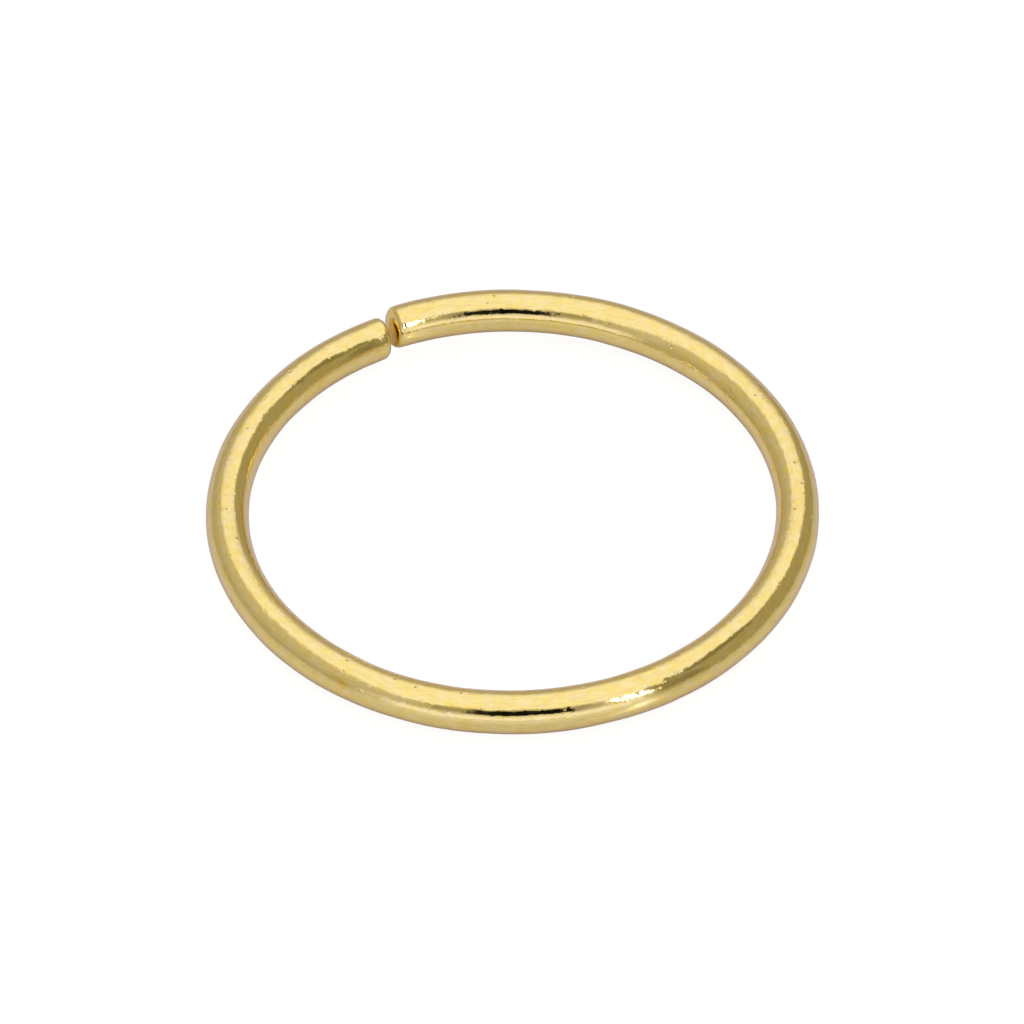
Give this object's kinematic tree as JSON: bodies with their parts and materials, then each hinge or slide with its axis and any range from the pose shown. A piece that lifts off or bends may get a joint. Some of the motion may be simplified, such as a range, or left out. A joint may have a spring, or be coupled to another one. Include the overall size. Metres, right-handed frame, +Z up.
{
  "type": "nose ring",
  "caption": "Plain open hoop of round polished gold-coloured wire, with a narrow butt gap that springs open to go through a nostril piercing.",
  "frame": {"origin": "centre of the ring, on the surface that it lies on", "axes": "+Z up, square to the ring lying on its side; +Y from the centre towards the gap between the cut ends; the raised cut end is on the +X side of the gap"},
  "size_m": [0.0114, 0.0114, 0.001],
  "materials": {
    "polished_gold": "mirror-polished yellow gold surface over drawn brass wire"
  },
  "bodies": {
    "root": {"hoop": "polished_gold"}
  },
  "joints": []
}
